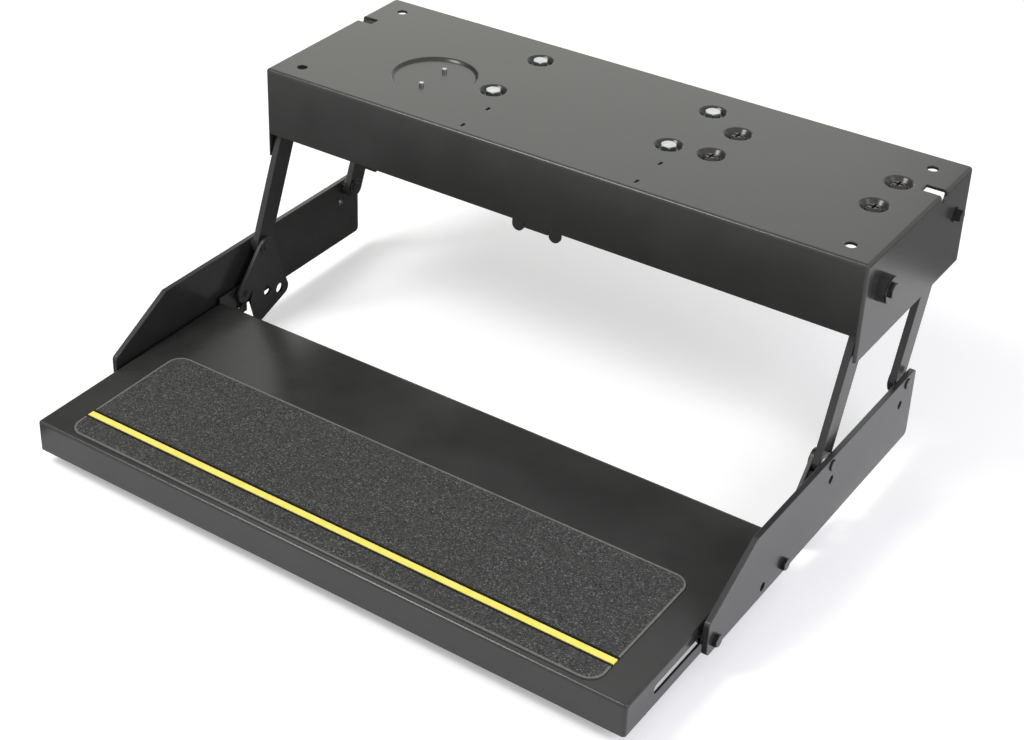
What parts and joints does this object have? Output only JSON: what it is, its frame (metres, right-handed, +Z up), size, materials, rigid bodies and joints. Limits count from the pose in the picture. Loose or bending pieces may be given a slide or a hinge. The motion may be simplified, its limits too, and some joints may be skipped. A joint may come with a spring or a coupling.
{
  "type": "electric rv step",
  "caption": "Powered single entry step for a caravan: a folded frame bolts under the floor, and swinging arms carry side plates with a sliding tread.",
  "frame": {"origin": "middle of the frame's bolt rectangle, on the top face that meets the floor of the vehicle", "axes": "+X to the right along the frame, +Y to the rear, towards the vehicle, +Z up out of the top face"},
  "size_m": [0.6334, 0.5376, 0.2585],
  "materials": {
    "black_powder_coat": "satin powder coat",
    "zinc_steel": "bright zinc plate",
    "machined_steel": "oiled machined steel",
    "cast_housing": "die-cast",
    "bearing_plastic": "natural nylon",
    "control_plastic": "moulded",
    "dark_screw": "black zinc",
    "rubber": "matt",
    "grip_mat": "mineral grit in resin",
    "yellow_stripe": "fine grit"
  },
  "bodies": {
    "frame": {"step_frame": "black_powder_coat", "shaft_bearing_left": "black_powder_coat", "shaft_bearing_right": "black_powder_coat", "shaft_hanger_left": "black_powder_coat", "shaft_hanger_right": "black_powder_coat", "hanger_bushes": "bearing_plastic", "rear_pivot_bolts": "zinc_steel", "rear_pivot_nuts": "zinc_steel", "rear_pivot_washers": "zinc_steel", "sector_pedestal": "cast_housing", "pedestal_studs": "zinc_steel", "pedestal_nuts": "zinc_steel", "motor_cradle": "black_powder_coat", "gearbox_housing": "cast_housing", "motor_can": "black_powder_coat", "motor_end_cap": "cast_housing", "motor_strap": "zinc_steel", "motor_bolts": "zinc_steel", "motor_nuts": "zinc_steel", "control_unit": "control_plastic", "control_socket": "control_plastic", "control_screws": "dark_screw", "control_nuts": "zinc_steel", "stop_bumper": "rubber"},
    "front_swing": {"front_shaft": "zinc_steel", "front_arm_left": "black_powder_coat", "front_arm_right": "black_powder_coat", "shaft_end_bolts": "zinc_steel", "slide_lever_left": "zinc_steel", "slide_lever_right": "zinc_steel", "slide_pins": "zinc_steel", "shaft_lever": "machined_steel", "lever_pin": "zinc_steel"},
    "rear_swing": {"rear_arm_left": "black_powder_coat", "rear_arm_right": "black_powder_coat"},
    "side_plates": {"side_plate_left": "black_powder_coat", "side_plate_right": "black_powder_coat", "lower_pivot_rivets": "zinc_steel", "lower_pivot_washers": "zinc_steel", "slide_bolts": "zinc_steel", "slide_bushes": "bearing_plastic", "slide_nuts": "zinc_steel"},
    "tread": {"tread": "black_powder_coat", "grip_mat": "grip_mat", "yellow_stripe": "yellow_stripe"},
    "sector": {"sector_gear": "machined_steel", "sector_shaft": "machined_steel", "crank": "machined_steel", "crank_pin": "zinc_steel"},
    "rod": {"drive_rod": "machined_steel"},
    "pinion": {"pinion": "machined_steel"}
  },
  "joints": [
    {"name": "front_arm_swing", "type": "hinge", "parent": "frame", "child": "front_swing", "pos_m": [0, -0.0691, -0.035], "axis": [1, 0, 0], "range_deg": [0, 86]},
    {"name": "rear_arm_swing", "type": "hinge", "parent": "frame", "child": "rear_swing", "pos_m": [0, 0.0779, -0.035], "axis": [1, 0, 0], "range_deg": [0, 86]},
    {"name": "side_plate_pivot", "type": "hinge", "parent": "front_swing", "child": "side_plates", "pos_m": [0, -0.1265, -0.1765], "axis": [1, 0, 0], "range_deg": [-86, 0]},
    {"name": "tread_slide", "type": "slide", "parent": "side_plates", "child": "tread", "axis": [0, 1, 0], "range_m": [0, 0.0727]},
    {"name": "sector_swing", "type": "hinge", "parent": "frame", "child": "sector", "pos_m": [0, -0.02016, -0.046], "axis": [1, 0, 0], "range_deg": [0, 86]},
    {"name": "rod_pivot", "type": "hinge", "parent": "sector", "child": "rod", "pos_m": [0, -0.03923, -0.07653], "axis": [1, 0, 0], "range_deg": [-86, 0]},
    {"name": "pinion_spin", "type": "hinge", "parent": "frame", "child": "pinion", "pos_m": [0, 0.0255, -0.04039], "axis": [1, 0, 0], "range_deg": [-197, 0]}
  ],
  "couplings": [
    {"joint": "rear_arm_swing", "follows": "front_arm_swing", "ratio": 1},
    {"joint": "side_plate_pivot", "follows": "front_arm_swing", "ratio": -1},
    {"joint": "tread_slide", "follows": "front_arm_swing", "m_per_rad": 0.0484},
    {"joint": "sector_swing", "follows": "front_arm_swing", "ratio": 1},
    {"joint": "rod_pivot", "follows": "front_arm_swing", "ratio": -1},
    {"joint": "pinion_spin", "follows": "front_arm_swing", "ratio": -2.2857}
  ]
}
